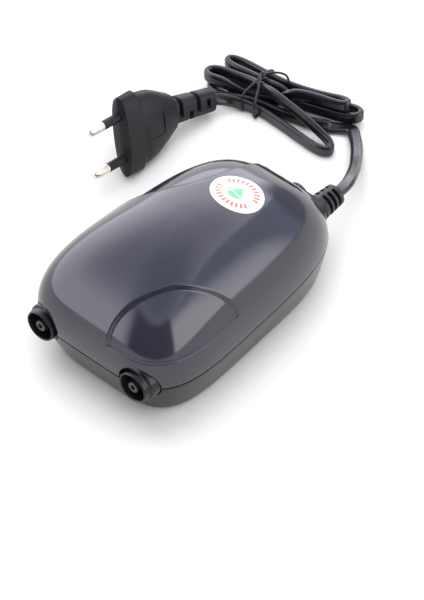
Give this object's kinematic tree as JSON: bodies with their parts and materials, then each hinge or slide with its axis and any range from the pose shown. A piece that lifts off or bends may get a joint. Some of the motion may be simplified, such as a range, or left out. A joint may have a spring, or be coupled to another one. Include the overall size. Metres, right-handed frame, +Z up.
{
  "type": "aquarium air pump",
  "caption": "Domed two-outlet diaphragm air pump with airflow knob, rubber feet, swing-arm magnet drive and a mains lead tied in a hank.",
  "frame": {"origin": "on the resting plane, under the middle of the pump's own box, its lead not counted", "axes": "+Z up, -Y towards the two air outlets, +Y towards the lead and the airflow knob, +X to the right seen from the outlets"},
  "size_m": [0.1261, 0.1942, 0.0594],
  "materials": {
    "cover_plastic": "glossy slate-grey ABS",
    "shell_plastic": "satin charcoal ABS",
    "label_film": "white coated label",
    "filter_felt": "needled felt",
    "knob_plastic": "fine texture",
    "zinc_steel": "zinc plated",
    "grey_plastic": "moulded",
    "silicon_steel": "laminated, varnished",
    "white_plastic": "moulded nylon",
    "copper_wire": "enamelled copper wire",
    "black_rubber": "soft rubber",
    "lead_jacket": "glossy PVC",
    "tie_plastic": "plastic-coated wire",
    "plug_plastic": "fine satin PVC",
    "nozzle_plastic": "satin",
    "wire_insulation": "PVC insulation",
    "ferrite": "sintered ferrite",
    "bright_metal": "nickel plated",
    "clear_hose": "translucent silicone hose"
  },
  "bodies": {
    "pump": {"air_filter_cover": "shell_plastic", "air_filter_felt": "filter_felt", "air_hose_left": "clear_hose", "air_hose_right": "clear_hose", "arm_mount_left": "black_rubber", "arm_mount_right": "black_rubber", "bottom_shell": "shell_plastic", "case_screw_1": "zinc_steel", "case_screw_2": "zinc_steel", "case_screw_3": "zinc_steel", "case_screw_4": "zinc_steel", "coil_bobbin": "white_plastic", "coil_lead_1": "wire_insulation", "coil_lead_2": "wire_insulation", "coil_winding": "copper_wire", "core_screw_1": "zinc_steel", "core_screw_2": "zinc_steel", "diaphragm_left": "black_rubber", "diaphragm_right": "black_rubber", "flap_valve_left": "black_rubber", "flap_valve_right": "black_rubber", "lead_hank": "lead_jacket", "lead_strain_relief": "black_rubber", "lead_to_hank": "lead_jacket", "lead_to_plug": "lead_jacket", "name_label": "label_film", "outlet_grommet_left": "black_rubber", "outlet_grommet_right": "black_rubber", "outlet_nozzle_left": "nozzle_plastic", "outlet_nozzle_right": "nozzle_plastic", "plug_body": "plug_plastic", "plug_pin_1": "bright_metal", "plug_pin_2": "bright_metal", "plug_pin_sleeve_1": "plug_plastic", "plug_pin_sleeve_2": "plug_plastic", "plug_strain_relief": "plug_plastic", "pump_chamber_left": "grey_plastic", "pump_chamber_right": "grey_plastic", "regulator_body": "grey_plastic", "rubber_foot_1": "black_rubber", "rubber_foot_2": "black_rubber", "rubber_foot_3": "black_rubber", "rubber_foot_4": "black_rubber", "stator_bracket": "zinc_steel", "stator_core": "silicon_steel", "top_cover": "cover_plastic", "twist_tie": "tie_plastic", "valve_plate_left": "white_plastic", "valve_plate_right": "white_plastic"},
    "knob": {"airflow_knob": "knob_plastic", "regulator_spindle": "zinc_steel"},
    "left_arm": {"swing_arm_left": "white_plastic", "arm_magnet_left": "ferrite", "diaphragm_washer_left": "bright_metal"},
    "right_arm": {"swing_arm_right": "white_plastic", "arm_magnet_right": "ferrite", "diaphragm_washer_right": "bright_metal"}
  },
  "joints": [
    {"name": "airflow_knob_turn", "type": "hinge", "parent": "pump", "child": "knob", "pos_m": [0, 0.06, 0.0205], "axis": [0, 1, 0], "range_deg": [0, 270]},
    {"name": "left_arm_swing", "type": "hinge", "parent": "pump", "child": "left_arm", "pos_m": [-0.02, 0.0216, 0.022], "axis": [0, 0, 1], "range_deg": [-1.2, 1.2], "stiffness_Nm_per_rad": 2, "deforming": ["diaphragm_left"]},
    {"name": "right_arm_swing", "type": "hinge", "parent": "pump", "child": "right_arm", "pos_m": [0.02, 0.0216, 0.022], "axis": [0, 0, 1], "range_deg": [-1.2, 1.2], "stiffness_Nm_per_rad": 2, "deforming": ["diaphragm_right"]}
  ],
  "couplings": [
    {"joint": "right_arm_swing", "follows": "left_arm_swing", "ratio": -1}
  ]
}
